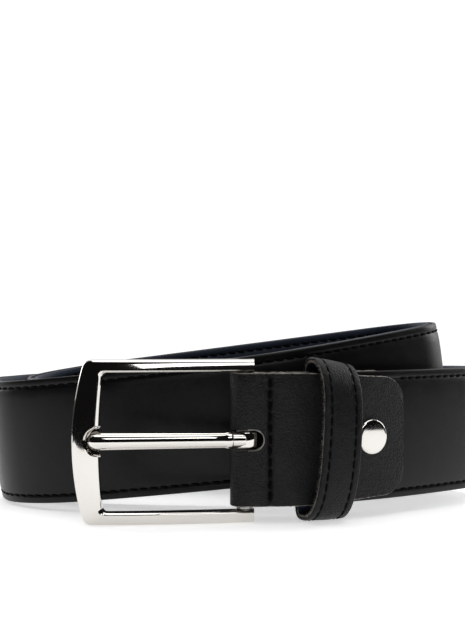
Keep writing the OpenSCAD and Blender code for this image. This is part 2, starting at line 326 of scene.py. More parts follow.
# ---------------------------------------------------------------- shader tools
class Value:
    """A shader socket. Sums and products with it add Math nodes."""

    def __init__(self, tree, socket):
        self.tree = tree
        self.socket = socket

    def _math(self, operation, a, b=None):
        node = self.tree.nodes.new("ShaderNodeMath")
        node.operation = operation
        for index, item in enumerate((a, b)):
            if isinstance(item, Value):
                self.tree.links.new(item.socket, node.inputs[index])
            elif item is not None:
                node.inputs[index].default_value = item
        return Value(self.tree, node.outputs[0])

    def __add__(self, other):
        return self._math("ADD", self, other)

    def __sub__(self, other):
        return self._math("SUBTRACT", self, other)

    def __rsub__(self, other):
        return self._math("SUBTRACT", other, self)

    def __mul__(self, other):
        return self._math("MULTIPLY", self, other)

    __radd__ = __add__
    __rmul__ = __mul__


class Nodes:
    """A node tree that is emptied and then filled node by node."""

    def __init__(self, tree):
        self.tree = tree
        self.tree.nodes.clear()

    def node(self, kind, settings=None, output=0, **inputs):
        """Adds a node, with its settings first and then the values or links of its sockets."""
        node = self.tree.nodes.new("ShaderNode" + kind)
        for key, value in (settings or {}).items():
            if key == "stops":
                stretch_ramp(node.color_ramp, value)
            else:
                setattr(node, key, value)
        for key, value in inputs.items():
            self.feed(self.socket(node, key), value)
        return Value(self.tree, node.outputs[output]) if node.outputs else None

    @staticmethod
    def socket(node, key):
        """The usable input whose name, without spaces and capitals, is key, or input_N by number."""
        if key.startswith("input_"):
            return node.inputs[int(key[len("input_"):])]
        return next(s for s in node.inputs
                    if s.enabled and s.name.replace(" ", "_").lower() == key.lower())

    def feed(self, socket, value):
        """Links a value to a socket, or sets the socket to a number or colour."""
        if isinstance(value, Value):
            self.tree.links.new(value.socket, socket)
        elif hasattr(value, "__len__") and len(value) == 3 and socket.type == "RGBA":
            socket.default_value = (*value, 1)
        else:
            socket.default_value = value


class Finish(Nodes):
    """A material with a Principled shader."""

    def __init__(self, name):
        self.material = bpy.data.materials.new(name)
        self.material.use_nodes = True
        super().__init__(self.material.node_tree)
        closure = self.node("BsdfPrincipled")
        self.shader = closure.socket.node
        self.node("OutputMaterial", surface=closure)

    def set(self, **inputs):
        """Feeds the shader's own sockets."""
        for key, value in inputs.items():
            self.feed(self.socket(self.shader, key), value)

    def place(self, scale=(1, 1, 1)):
        """Object coordinates, stretched by scale."""
        where = self.node("TexCoord", output=3)
        return self.node("Mapping", vector=where, scale=scale)

    def grain(self, size_mm, detail=3.0, roughness=0.55, stretch=(1, 1, 1)):
        """Soft noise whose lumps are about size_mm across."""
        return self.node("TexNoise", vector=self.place(stretch), scale=1 / (size_mm * MM),
                         detail=detail, roughness=roughness)

    def cells(self, size_mm, feature="F1"):
        """Cells about size_mm across, as the distance from their middle or edge."""
        return self.node("TexVoronoi", {"feature": feature}, vector=self.place(),
                         scale=1 / (size_mm * MM))

    def blend_colours(self, factor, a, b):
        """Colour a where the factor is 0 and b where it is 1."""
        return self.node("Mix", {"data_type": "RGBA"}, output=2, factor=factor, a=a, b=b)

    def ramp(self, factor, stops):
        """A grey ramp over the factor."""
        return self.node("ValToRGB", {"stops": stops}, fac=factor)

    def bump(self, height, depth_mm, normal=None):
        """A bump as deep as depth_mm, over another one where normal is given."""
        below = {} if normal is None else {"normal": normal}
        return self.node("Bump", strength=1.0, distance=depth_mm * MM, height=height, **below)


def stretch_ramp(ramp, stops):
    """Sets a ramp's stops, each (position, grey)."""
    while len(ramp.elements) < len(stops):
        ramp.elements.new(0.5)
    for element, (position, grey) in zip(ramp.elements, stops):
        element.position = position
        element.color = (grey, grey, grey, 1)


def brighter(shade, factor):
    """A colour times a factor, held below white."""
    return tuple(min(c * factor, 1.0) for c in shade)


def leather_finish(name, shade, pebble_mm, depth_mm, shine, worn, gloss):
    """Grained leather: pebbles with creases between them, pores and a slightly worn face."""
    f = Finish(name)
    cells = f.cells(pebble_mm)
    creases = f.cells(pebble_mm, "DISTANCE_TO_EDGE")
    soft = f.grain(pebble_mm * 9, 4)
    pores = f.grain(pebble_mm * 0.35, 2)
    speckle = f.grain(pebble_mm * 1.3, 3, 0.7)
    wear = f.ramp(soft * 0.45 + speckle * 0.55, [(0.4, 0), (0.66, 1)])
    f.set(base_color=f.blend_colours(wear, shade, brighter(shade, worn)),
          roughness=shine + soft * 0.12 + speckle * 0.2 + pores * 0.06 - 0.16,
          specular_ior_level=gloss)
    normal = f.bump(f.ramp(creases, [(0.0, 0), (0.28, 1)]), depth_mm)
    normal = f.bump(cells * 0.5 + pores * 0.3 + soft * 0.6, depth_mm * 0.7, normal)
    f.set(normal=normal)
    return f.material


def lining_finish(name, shade):
    """Thin lining leather: a fine nap with lighter patches."""
    f = Finish(name)
    nap = f.grain(0.35, 4, 0.7)
    patches = f.grain(9, 3)
    f.set(base_color=f.blend_colours(patches, shade, brighter(shade, 2.2)),
          roughness=0.5 + nap * 0.25)
    f.set(normal=f.bump(nap * 0.7 + f.cells(0.8) * 0.3, 0.05))
    return f.material


def raw_finish(name, shade):
    """Undyed cut edge: pale fibres with dye caught between them."""
    f = Finish(name)
    fibre = f.grain(0.22, 5, 0.75)
    clumps = f.grain(1.6, 2)
    mask = f.ramp(fibre * 0.6 + clumps * 0.4, [(0.42, 0), (0.6, 1)])
    f.set(base_color=f.blend_colours(mask, brighter(shade, 0.12), shade), roughness=0.9)
    f.set(normal=f.bump(fibre, 0.15))
    return f.material


def thread_finish(name, shade):
    """Matt thread with its strands just showing."""
    f = Finish(name)
    strands = f.grain(0.18, 3, 0.6, (1, 1, 2.5))
    f.set(base_color=f.blend_colours(strands, shade, brighter(shade, 2)),
          roughness=0.55 + strands * 0.25, specular_ior_level=0.06)
    f.set(normal=f.bump(strands, 0.06))
    return f.material


def plate_finish(name, shade):
    """Polished plate with faint wiping marks."""
    f = Finish(name)
    film = f.grain(7, 4, 0.6)
    wipes = f.grain(0.5, 2, 0.5, (1, 1, 0.08))
    f.set(base_color=f.blend_colours(film, brighter(shade, 0.96), shade), metallic=1.0,
          roughness=0.035 + film * 0.035 + wipes * 0.015)
    f.set(normal=f.bump(f.grain(4, 1), 0.004))
    return f.material


def steel_finish(name, shade):
    """Bare steel, brushed along its height."""
    f = Finish(name)
    brushed = f.grain(0.4, 3, 0.6, (1, 1, 0.05))
    f.set(base_color=f.blend_colours(brushed, brighter(shade, 0.8), shade), metallic=1.0,
          roughness=0.25 + brushed * 0.2)
    f.set(normal=f.bump(brushed, 0.01))
    return f.material


def finish(name):
    """A material by name, made the first time it is asked for."""
    if name not in bpy.data.materials:
        c = bpy.context.scene.belt_colours
        makers = {
            "belt_smooth_leather": lambda: leather_finish(
                name, c.leather, pebble_mm=0.5, depth_mm=0.012, shine=0.33, worn=1.7, gloss=0.20),
            "belt_chape_leather": lambda: leather_finish(
                name, c.chape, pebble_mm=0.85, depth_mm=0.10, shine=0.40, worn=3.2, gloss=0.24),
            "belt_keeper_leather": lambda: leather_finish(
                name, c.chape, pebble_mm=0.8, depth_mm=0.085, shine=0.36, worn=3.0, gloss=0.20),
            "belt_lining_leather": lambda: lining_finish(name, c.lining),
            "belt_raw_edge": lambda: raw_finish(name, c.raw),
            "belt_core_fibre": lambda: raw_finish(name, brighter(c.chape, 3)),
            "belt_black_thread": lambda: thread_finish(name, c.thread),
            "belt_nickel_plate": lambda: plate_finish(name, c.plate),
            "belt_plain_steel": lambda: steel_finish(name, c.steel),
        }
        makers[name]()
    return bpy.data.materials[name]


# ---------------------------------------------------------------- strap
# The strap's point and holes, where its core lies across it, and how far along its seams begin.
TIP_REACH = 26.0
HOLE_COUNT = 5
HOLE_FROM_TIP = 100.0
HOLE_PITCH = 25.0
CORE_N = (-0.8, 0.24)
NEEDLE_FROM = 41.0
BOBBIN_FROM = 46.0
STITCH_LEAN = 5


def half_height(s, width):
    """Half the strap's height at distance s, drawn in to a rounded point at the tip."""
    left = max(STRAP_END - s, 0.0)
    if left >= TIP_REACH:
        return width / 2
    u = 1 - left / TIP_REACH
    return width / 2 * max(1 - u ** 2.6, 0.02) ** 0.6


def strap_places(width):
    """Places up the whole strap, each scaled to its height about the middle of the strap."""
    found = []
    near_tip = [STRAP_END - TIP_REACH * (1 - k / 16) ** 1.6 for k in range(17)]
    for s in distances(0, STRAP_END - TIP_REACH - 1, 2.5, 4) + near_tip:
        lift = Matrix.Translation((0, 0, width / 2))
        found.append(strap_place(min(s, STRAP_END - 0.001)) @ lift
                     @ Matrix.Diagonal((1, 1, 2 * half_height(s, width) / width, 1)))
    return found


def tip_holes(width, diameter):
    """The punches that make the holes near the tip."""
    bm = bmesh.new()
    for k in range(HOLE_COUNT):
        place = strap_place(STRAP_END - HOLE_FROM_TIP - HOLE_PITCH * k)
        place = place @ Matrix.Translation((0, 0, width / 2))
        bmesh.ops.create_cone(bm, cap_ends=True, segments=28, radius1=diameter / 2,
                              radius2=diameter / 2, depth=9,
                              matrix=place @ Matrix.Rotation(math.pi / 2, 4, "Y"))
    return bm


def strap_layer(section, name, materials, nodes):
    """One layer of the strap, the whole length of the coil, with its holes."""
    z = sizes()
    bm = sweep(section, strap_places(z["strap_w"]))
    bm = carve(bm, tip_holes(z["strap_w"], z["hole_d"]))
    piece(bm, name, "strap", materials, nodes, 50)


def mirrored(points):
    """A section's lower half and its mirror image above, as one outline."""
    return points + [(x, -z) for x, z in reversed(points)]


class BELT_OT_strap_leather(bpy.types.Operator):
    """Builds the crowned outer leather, the core and the lining of the strap"""
    bl_idname = "belt.strap_leather"
    bl_label = "Strap leather"

    def execute(self, context):
        z = sizes()
        h, top, row = z["strap_w"] / 2, z["strap_t"] / 2, z["stitch_inset"]
        low = top - 0.75
        outer = mirrored([
            (0.25, -h + 0.12), (0.55, -h), (0.95, -h + 0.03), (low - 0.05, -h + 0.2),
            (low + 0.06, -h + 0.5), (low + 0.14, -h + row - 0.75), (low + 0.1, -h + row - 0.4),
            (low - 0.12, -h + row),
            (low + 0.16, -h + row + 0.4), (low + 0.38, -h + row + 1.0), (top - 0.18, -h + 5.2),
            (top - 0.06, -h + 8), (top, -h + 12), (top + 0.02, -2)])
        strap_layer(outer, "strap_outer_leather",
                    [finish("belt_smooth_leather")], ["strap_outer"])
        core = rounded_box(*CORE_N, -h + 0.25, h - 0.25, 0.2, 1)
        strap_layer(core, "strap_core_fibre", [finish("belt_core_fibre")],
                    ["strap_core"])
        lining = mirrored([
            (CORE_N[0] - 0.01, -h + 0.2), (-1.0, -h + 0.08), (-top + 0.6, -h + 0.1),
            (-top + 0.3, -h + 0.4), (-top + 0.22, -h + row - 0.4), (-top + 0.4, -h + row),
            (-top + 0.14, -h + row + 0.5), (-top, -h + row + 1.5)])
        strap_layer(lining, "strap_lining_leather",
                    [finish("belt_lining_leather")], ["strap_lining"])
        return {"FINISHED"}


class BELT_OT_strap_thread(bpy.types.Operator):
    """Sews both rows of single stitches, outside and on the lining"""
    bl_idname = "belt.strap_thread"
    bl_label = "Strap thread"

    def execute(self, context):
        z = sizes()
        width, r = z["strap_w"], z["thread_r"]
        pitch, inset = z["stitch_pitch"], z["stitch_inset"]
        top = z["strap_t"] / 2
        sides = (("strap_needle_stitches", top - 0.72, "strap_needle_thread", NEEDLE_FROM),
                 ("strap_bobbin_stitches", 0.28 - top, "strap_bobbin_thread", BOBBIN_FROM))
        for name, depth, node, first in sides:
            places = []
            count = int((STRAP_END - 4 - first) / pitch)
            for k in range(count):
                s = first + (k + 0.5) * pitch
                rise = half_height(s, width) - inset
                for side in (-1, 1):
                    place = strap_place(s) @ Matrix.Translation((depth, 0, width / 2 + side * rise))
                    lean = Matrix.Rotation(math.radians(STITCH_LEAN * side), 4, "X")
                    places.append(place @ lean)
            bm = stitches(places, pitch * 0.42, r * 1.1, r)
            piece(bm, name, "strap", [finish("belt_black_thread")], [node], 70,
                  outward=False)
        return {"FINISHED"}


# ---------------------------------------------------------------- chape
# The height of the slot and prong, the seam's place, the ends of the two legs by heading, the
# tab's corners and taper (share, reach), and how far the leather lies from the strap and bar.
MID_Z = 21.9
SEAM_X = 9.9
TAB_HEADING = 36.9
TAB_CORNER = 7.0
TAB_TAPER = (0.086, 36)
BACK_HEADING = 35.0
LEG_N = 2.0
BACK_GAP = 0.1
FOLD_R = 2.25
# The seam's groove and the swell over the bar: place, half width and height of each.
GROOVE = (SEAM_X, 0.7, -0.36)
SWELL = (4.6, 2.6, 0.22)
GROOVE_SQUEEZE = 0.42


def leg_place(heading, n):
    """A point n outwards on the front arcs, by heading."""
    arc = LAID[0] if heading <= LAID[0][3] + LAID[0][4] else LAID[1]
    _, _, radius, _, _, centre = arc
    return centre + (radius + n) * outwards(heading)[0]


def chape_line(t):
    """The middle of the folded leather from the tab, round the bar, to the end of the back leg."""
    n = LEG_N + t / 2
    fold = FOLD_R + t / 2
    line = []
    for k in range(61):
        heading = TAB_HEADING + (HEADING - TAB_HEADING) * (k / 60)
        line.append((leg_place(heading, n), outwards(heading)[0]))
    line.append((BAR + Vector((0.4, -fold, 0)), Vector((0, -1, 0))))
    for k in range(25):
        a = math.radians(-90 - 180 * k / 24)
        out = Vector((math.cos(a), math.sin(a), 0))
        line.append((BAR + fold * out, out))
    line.append((BAR + Vector((0.4, fold, 0)), Vector((0, 1, 0))))
    for k in range(37):
        heading = HEADING + (BACK_HEADING - HEADING) * (k / 36)
        line.append((leg_place(heading, -n - BACK_GAP), -outwards(heading)[0]))
    return line


def resample(line, step):
    """The same line with evenly spaced points."""
    found = [line[0]]
    for (a, na), (b, nb) in zip(line, line[1:]):
        n = max(1, round((b - a).length / step))
        found += [(a.lerp(b, k / n), na.lerp(nb, k / n).normalized()) for k in range(1, n + 1)]
    return found


def bell(x, middle, spread):
    """A smooth hump, 1 at the middle."""
    return math.exp(-((x - middle) / spread) ** 2)


def chape_places(t, width):
    """Places along the folded leather, narrowed at the tab and pressed in at the seam."""
    line = resample(chape_line(t), 0.45)
    found = []
    run = 0.0
    last = line[0][0]
    for at, out in line:
        run += (at - last).length
        last = at
        taper = 1 - TAB_TAPER[0] * (1 - smooth(0, TAB_TAPER[1], run))
        inset = TAB_CORNER - math.sqrt(max(TAB_CORNER ** 2 - max(TAB_CORNER - run, 0) ** 2, 0))
        half = width / 2 * taper - inset
        at = at.copy()
        at.z = MID_Z
        groove = bell(at.x, *GROOVE[:2])
        thick = 1 - GROOVE_SQUEEZE * groove
        at += out * (SWELL[2] * bell(at.x, *SWELL[:2]) + GROOVE[2] * groove)
        along = Vector((0, 0, 1)).cross(out)
        found.append(axes(at, out * thick, along, Vector((0, 0, half / (width / 2)))))
    return found


# The slot and the lip at its end, and the seam: where it lies on each leg, and its stitches.
SLOT_H = 5.2
SLOT_END = 8.2
LIP_R = 0.17
LIP_FLAT = 0.14
SEAM_Y = (0.66, 7.44)
SEAM_PITCH = 2.95
SEAM_COUNT = 11


def slot_cutter(height, reach):
    """A slot with one round end, cut through both legs."""
    bm = bmesh.new()
    end = SLOT_END - height / 2
    low, high = MID_Z - height / 2, MID_Z + height / 2
    outline = [(-reach, low), (end, low)]
    for k in range(1, 16):
        a = math.radians(-90 + 180 * k / 16)
        outline.append((end + height / 2 * math.cos(a), MID_Z + height / 2 * math.sin(a)))
    outline += [(end, high), (-reach, high)]
    face = bm.faces.new([bm.verts.new((x, -9, z)) for x, z in outline])
    made = bmesh.ops.extrude_face_region(bm, geom=[face])["geom"]
    verts = [v for v in made if isinstance(v, bmesh.types.BMVert)]
    bmesh.ops.translate(bm, vec=(0, 18, 0), verts=verts)
    for f in bm.faces:
        f.material_index = 1
    return bm


class BELT_OT_chape(bpy.types.Operator):
    """Builds the folded chape with its slot, raw cut edges and sewn seam"""
    bl_idname = "belt.chape"
    bl_label = "Chape"

    def execute(self, context):
        z = sizes()
        t, width = z["chape_t"], z["strap_w"]
        h = width / 2
        section = rounded_box(-t / 2, t / 2, -h, h, 0.42, 3)
        front = [(t / 2, h * k / 8) for k in range(-6, 7)]
        back = [(-t / 2, h * k / 8) for k in range(6, -7, -1)]
        n = len(section) // 4
        section = section[:n] + front + section[n:3 * n] + back + section[3 * n:]
        bm = sweep(section, chape_places(t, width))
        bmesh.ops.recalc_face_normals(bm, faces=bm.faces)
        paint_faces(bm, 1, lambda mid, normal: abs(normal.z) > 0.35)
        bm = carve(bm, slot_cutter(SLOT_H, 8))
        rough_edges(bm, 0.10, 7)
        piece(bm, "chape_leather", "strap",
              [finish("belt_chape_leather"), finish("belt_raw_edge")], ["chape"], 45)
        self.lip(t, width)
        self.sew()
        return {"FINISHED"}

    def lip(self, t, width):
        """The pale cut edge that stands up a little round the slot's closed end."""
        front = [place @ Vector((t / 2, 0, 0)) for place in chape_places(t, width)]
        front = [point for point in front if point.y < BAR.y]
        half = SLOT_H / 2
        middle = SLOT_END - half
        places = []
        for k in range(-4, 25):
            a = math.radians(-90 + 180 * min(max(k, 0), 20) / 20)
            back = max(-k, k - 20, 0) * 0.4
            out = Vector((math.cos(a), 0, math.sin(a)))
            at = Vector((middle - back, 0, MID_Z)) + (half + 0.1) * out
            at.y = min(front, key=lambda point: abs(point.x - at.x)).y
            places.append(axes(at, out, Vector((-out.z, 0, out.x)), Vector((0, 1, 0))))
        section = []
        for k in range(8):
            a = math.radians(45 * k)
            section.append((LIP_R * math.cos(a), LIP_FLAT * math.sin(a)))
        bm = sweep(section, places)
        rough_edges(bm, 0.04, 2)
        piece(bm, "chape_slot_lip", "strap", [finish("belt_raw_edge")], (), 60)

    def sew(self):
        """The seam's stitches on the front leg and on the back one."""
        dice = random.Random(5)
        places = []
        for k in range(SEAM_COUNT):
            height = MID_Z + (k - SEAM_COUNT // 2) * SEAM_PITCH
            for y in SEAM_Y:
                place = Matrix.Translation((SEAM_X + dice.uniform(-0.08, 0.08), y, height))
                lean = Matrix.Rotation(dice.uniform(-0.06, 0.06), 4, "Y")
                places.append(place @ lean @ Matrix.Rotation(math.pi / 2, 4, "X"))
        bm = stitches(places, SEAM_PITCH * 0.44, 0.36, 0.4)
        piece(bm, "chape_seam_stitches", "strap", [finish("belt_black_thread")],
              ["chape_thread"], 70, outward=False)


def rough_edges(bm, amount, seed):
    """Moves the cut edges a little, as a knife leaves them."""
    for v in bm.verts:
        if any(f.material_index == 1 for f in v.link_faces):
            v.co += noise.noise_vector(v.co * 2.1 + Vector((seed, 0, 0))) * amount


# ---------------------------------------------------------------- keeper
# The ring's place by heading, its reach behind and in front of the strap's middle, its height
# and how far it stands off the floor, and how it leans, shifts and droops.
KEEPER_HEADING = 22.6
KEEPER_BACK = -4.05
KEEPER_FRONT = 9.4
KEEPER_H = 42.2
KEEPER_LOW = 0.25
KEEPER_ROLL = 0.07
KEEPER_SHIFT = 0.35
KEEPER_DROOP = 0.19
KEEPER_STEPS = 132
# Powers of the ring's outline: in front, behind, and over its height.
FRONT_POWER = 2 / 2.35
BACK_POWER = 2 / 5.5
HEIGHT_POWER = 2 / 2.7
FIBRES = 340


def keeper_line(grow):
    """The ring's inner outline grown by grow, as evenly spaced (n, z, direction out)."""
    half, middle = KEEPER_H / 2 - 1.5, KEEPER_LOW + KEEPER_H / 2
    oval = []
    for k in range(720):
        a = math.radians(k / 2)
        c, s = math.cos(a), math.sin(a)
        power = FRONT_POWER if c > 0 else BACK_POWER
        reach = KEEPER_FRONT if c > 0 else -KEEPER_BACK
        oval.append((math.copysign(reach * abs(c) ** power, c),
                     math.copysign(half * abs(s) ** HEIGHT_POWER, s)))
    grown = []
    for i, (n, z) in enumerate(oval):
        (n0, z0), (n1, z1) = oval[i - 3], oval[(i + 3) % 720]
        a = math.atan2(n0 - n1, z1 - z0)
        grown.append(Vector((n + grow * math.cos(a), z + grow * math.sin(a) + middle)))
    runs = [0.0]
    for a, b in zip(grown, grown[1:] + grown[:1]):
        runs.append(runs[-1] + (b - a).length)
    grown.append(grown[0])
    even = []
    i = 0
    for k in range(KEEPER_STEPS):
        run = runs[-1] * k / KEEPER_STEPS
        while runs[i + 1] < run:
            i += 1
        share = (run - runs[i]) / max(runs[i + 1] - runs[i], 1e-6)
        even.append(grown[i].lerp(grown[i + 1], share))
    line = []
    for i, point in enumerate(even):
        ahead = even[(i + 1) % KEEPER_STEPS] - even[i - 1]
        line.append((point.x, point.y, math.atan2(-ahead.x, ahead.y)))
    return line


def keeper_places(grow):
    """Places round the ring: out of it, along it, and across its width."""
    at0 = leg_place(KEEPER_HEADING, 0)
    n_dir, t_dir = outwards(KEEPER_HEADING)
    up = Vector((0, 0, 1))
    places = []
    for n, z, a in keeper_line(grow):
        at = at0 + n_dir * n + t_dir * (KEEPER_SHIFT + KEEPER_ROLL * (z - MID_Z))
        at.z = z
        out = n_dir * math.cos(a) + up * math.sin(a)
        along = -n_dir * math.sin(a) + up * math.cos(a)
        droop = Matrix.Rotation(-KEEPER_DROOP * max(math.sin(a), 0), 4, "Y")
        places.append(axes(at, out, along, t_dir) @ droop)
    return places + places[:1]


class BELT_OT_keeper(bpy.types.Operator):
    """Builds the two plies of the keeper, its stitch rows, fringe and clip"""
    bl_idname = "belt.keeper"
    bl_label = "Keeper"

    def execute(self, context):
        z = sizes()
        ply, half = z["ply_t"], z["keeper_w"] / 2
        row = half - 1.9
        outer = mirrored([
            (0.02, -half + 0.12), (0.16, -half), (ply - 0.22, -half + 0.05),
            (ply - 0.02, -half + 0.3), (ply, -row - 0.55), (ply - 0.05, -row - 0.35),
            (ply - 0.26, -row), (ply - 0.03, -row + 0.35), (ply + 0.03, -row + 0.7),
            (ply + 0.1, -row / 2), (ply + 0.12, -0.3)])
        lining = rounded_box(0.0, ply, -half + 0.15, half - 0.15, 0.25, 2)
        ring = close_round(sweep(outer, keeper_places(ply), False))
        piece(ring, "keeper_outer_ply", "keeper",
              [finish("belt_keeper_leather")], ["keeper_outer"], 50)
        ring = close_round(sweep(lining, keeper_places(0), False))
        bmesh.ops.recalc_face_normals(ring, faces=ring.faces)
        _, t_dir = outwards(KEEPER_HEADING)
        paint_faces(ring, 1, lambda mid, normal: abs(normal.dot(t_dir)) > 0.5)
        rough_edges(ring, 0.12, 3)
        piece(ring, "keeper_inner_ply", "keeper",
              [finish("belt_lining_leather"), finish("belt_raw_edge")], ["keeper_lining"], 50)
        self.sew(z, row, ply)
        self.fringe(half)
        self.staple()
        return {"FINISHED"}

    def sew(self, z, row, ply):
        """Two rows of stitches round the ring, row from its middle."""
        line = keeper_places(2 * ply - 0.12)
        pitch = z["stitch_pitch"]
        runs = [0.0]
        for a, b in zip(line, line[1:]):
            runs.append(runs[-1] + (b.translation - a.translation).length)
        count = round(runs[-1] / pitch)
        places = []
        for k in range(count):
            s = runs[-1] * k / count
            i = max(j for j in range(len(line) - 1) if runs[j] <= s)
            for side in (-1, 1):
                places.append(line[i] @ Matrix.Translation((0, s - runs[i], side * row)))
        bm = stitches(places, pitch * 0.42, 0.34, 0.3)
        piece(bm, "keeper_stitches", "keeper", [finish("belt_black_thread")],
              ["keeper_thread"], 70, outward=False)

    def fringe(self, half):
        """Short pale fibres that stand out of the lining's cut edge, except behind the strap."""
        dice = random.Random(11)
        n_dir, _ = outwards(KEEPER_HEADING)
        line = [place for place in keeper_places(0.1) if place.col[0].to_3d().dot(n_dir) > -0.6]
        bm = bmesh.new()
        for _ in range(FIBRES):
            place = line[dice.randrange(len(line))]
            reach = dice.uniform(0.25, 0.8)
            root = (dice.uniform(-0.1, 0.6), dice.uniform(-0.8, 0.8), -half + 0.15 - reach / 2)
            lean = Matrix.Rotation(dice.uniform(-0.7, 0.7), 4, "X")
            lean = lean @ Matrix.Rotation(dice.uniform(-0.6, 0.5), 4, "Y")
            bmesh.ops.create_cone(bm, cap_ends=True, segments=3, radius1=0.02, radius2=0.05,
                                  depth=reach, matrix=place @ Matrix.Translation(root) @ lean)
        piece(bm, "keeper_fringe", "keeper", [finish("belt_raw_edge")], (), 70,
              outward=False)

    def staple(self):
        """A flat clip inside the back of the ring."""
        n_dir, t_dir = outwards(KEEPER_HEADING)
        at = leg_place(KEEPER_HEADING, KEEPER_BACK + 0.12)
        at.z = MID_Z
        place = axes(at, n_dir, t_dir, Vector((0, 0, 1)))
        bm = bmesh.new()
        bmesh.ops.create_cube(bm, size=1, matrix=place @ Matrix.Diagonal((0.24, 5.0, 7.0, 1)))
        bmesh.ops.bevel(bm, geom=bm.edges[:], offset=0.09, affect="EDGES", segments=2,
                        profile=0.5, material=-1)
        piece(bm, "keeper_clip", "keeper", [finish("belt_plain_steel")],
              ["keeper_staple"])


# ---------------------------------------------------------------- buckle
# The open frame from its left side to its open end, its height, its rails and left bar, how far
# its two sides bow, its corners, and how far the left bar's ends lie back.
FRAME_X = (-41.7, 5.7)
FRAME_H = 43.0
FRAME_MID = FRAME_H / 2
RAIL_H = 3.4
LEFT_W = 7.0
SIDE_SAG = 3.3
INNER_SAG = 1.0
OUTER_CORNER = 2.4
INNER_CORNER = 1.3
BOW = 0.9


def face_y(x, z):
    """Front of the frame: it comes forward to the left, and the left bar bows forward."""
    u = (FRAME_X[1] - x) / (FRAME_X[1] - FRAME_X[0])
    flat = 1.3 - 5.9 * math.sin(math.pi / 2 * u)
    return flat + BOW * u * u * ((z - FRAME_MID) / FRAME_MID) ** 2


def bowed_x(left, sag, half, z):
    """The x of a bowed side at height z, whose middle is at left."""
    r = (half * half + sag * sag) / (2 * sag)
    return left + r - math.sqrt(r * r - (z - FRAME_MID) ** 2)


def c_outline(left, sag, top, corner, counts):
    """Upper half of a C from the open end, along the rail, round the corner, to mid height."""
    half = top - FRAME_MID
    rail, turn, side = counts
    corner_x = bowed_x(left, sag, half, top - corner)
    tilt = math.atan2(bowed_x(left, sag, half, top - corner + 0.5) - corner_x, 0.5)
    line = [(FRAME_X[1] + (corner_x + corner - FRAME_X[1]) * k / rail, top) for k in range(rail)]
    for k in range(turn + 1):
        a = math.pi / 2 + (math.pi / 2 - tilt) * k / turn
        line.append((corner_x + corner + corner * math.cos(a), top - corner + corner * math.sin(a)))
    z_from = line[-1][1]
    for k in range(1, side + 1):
        z = z_from + (FRAME_MID - z_from) * k / side
        line.append((bowed_x(left, sag, half, z), z))
    shift = line[-side - 1][0] - bowed_x(left, sag, half, z_from)
    for k in range(1, side + 1):
        i = len(line) - 1 - side + k
        line[i] = (line[i][0] + shift * (1 - k / side) ** 2, line[i][1])
    return line


def mirrored_down(points):
    """The same points on the other side of the frame's mid height, in the other order."""
    return [(x, 2 * FRAME_MID - z) for x, z in reversed(points[:-1])]


def frame_places():
    """Places round the open frame, each as wide as the frame is there."""
    counts = (26, 10, 22)
    outer = c_outline(FRAME_X[0], SIDE_SAG, FRAME_H, OUTER_CORNER, counts)
    inner = c_outline(FRAME_X[0] + LEFT_W, INNER_SAG, FRAME_H - RAIL_H, INNER_CORNER, counts)
    outer += mirrored_down(outer)
    inner += mirrored_down(inner)
    found = []
    for (ox, oz), (ix, iz) in zip(outer, inner):
        a = Vector((ox, face_y(ox, oz), oz))
        b = Vector((ix, face_y(ix, iz), iz))
        across = b - a
        deep = Vector((0, 1, 0))
        found.append(axes(a, across, across.normalized().cross(deep), deep))
    return found


def face_drop(u):
    """Depth of the broad face behind the front, from its outer side to its inner one."""
    return 0.88 - 0.56 * u - 0.36 * (u - u * u / 2) - 0.1 * (1 - math.exp(-u / 0.12))


def frame_section(depth):
    """(share of the width, depth) from the outer back edge over the front to the inner back."""
    face = [(0.0, 1.65), (0.015, 1.38), (0.05, 1.14), (0.11, 0.98), (0.14, 0.88)]
    for k in range(1, 9):
        face.append((0.14 + 0.66 * k / 9, face_drop(k / 9)))
    face += [(0.80, 0.04), (0.815, 0.03), (0.84, 0.08), (0.93, 0.50), (0.985, 0.82), (1.0, 1.05)]
    back = [(1.0, depth - 0.35), (0.96, depth - 0.08), (0.9, depth), (0.1, depth),
            (0.04, depth - 0.08), (0.0, depth - 0.35)]
    return face + back


NOTCH = Vector((FRAME_X[0] + LEFT_W + 0.2, 0, MID_Z))
NOTCH_R = 3.55
NOTCH_FLOOR = -1.25
FRAME_DEPTH = 4.7
BAR_R = 1.38


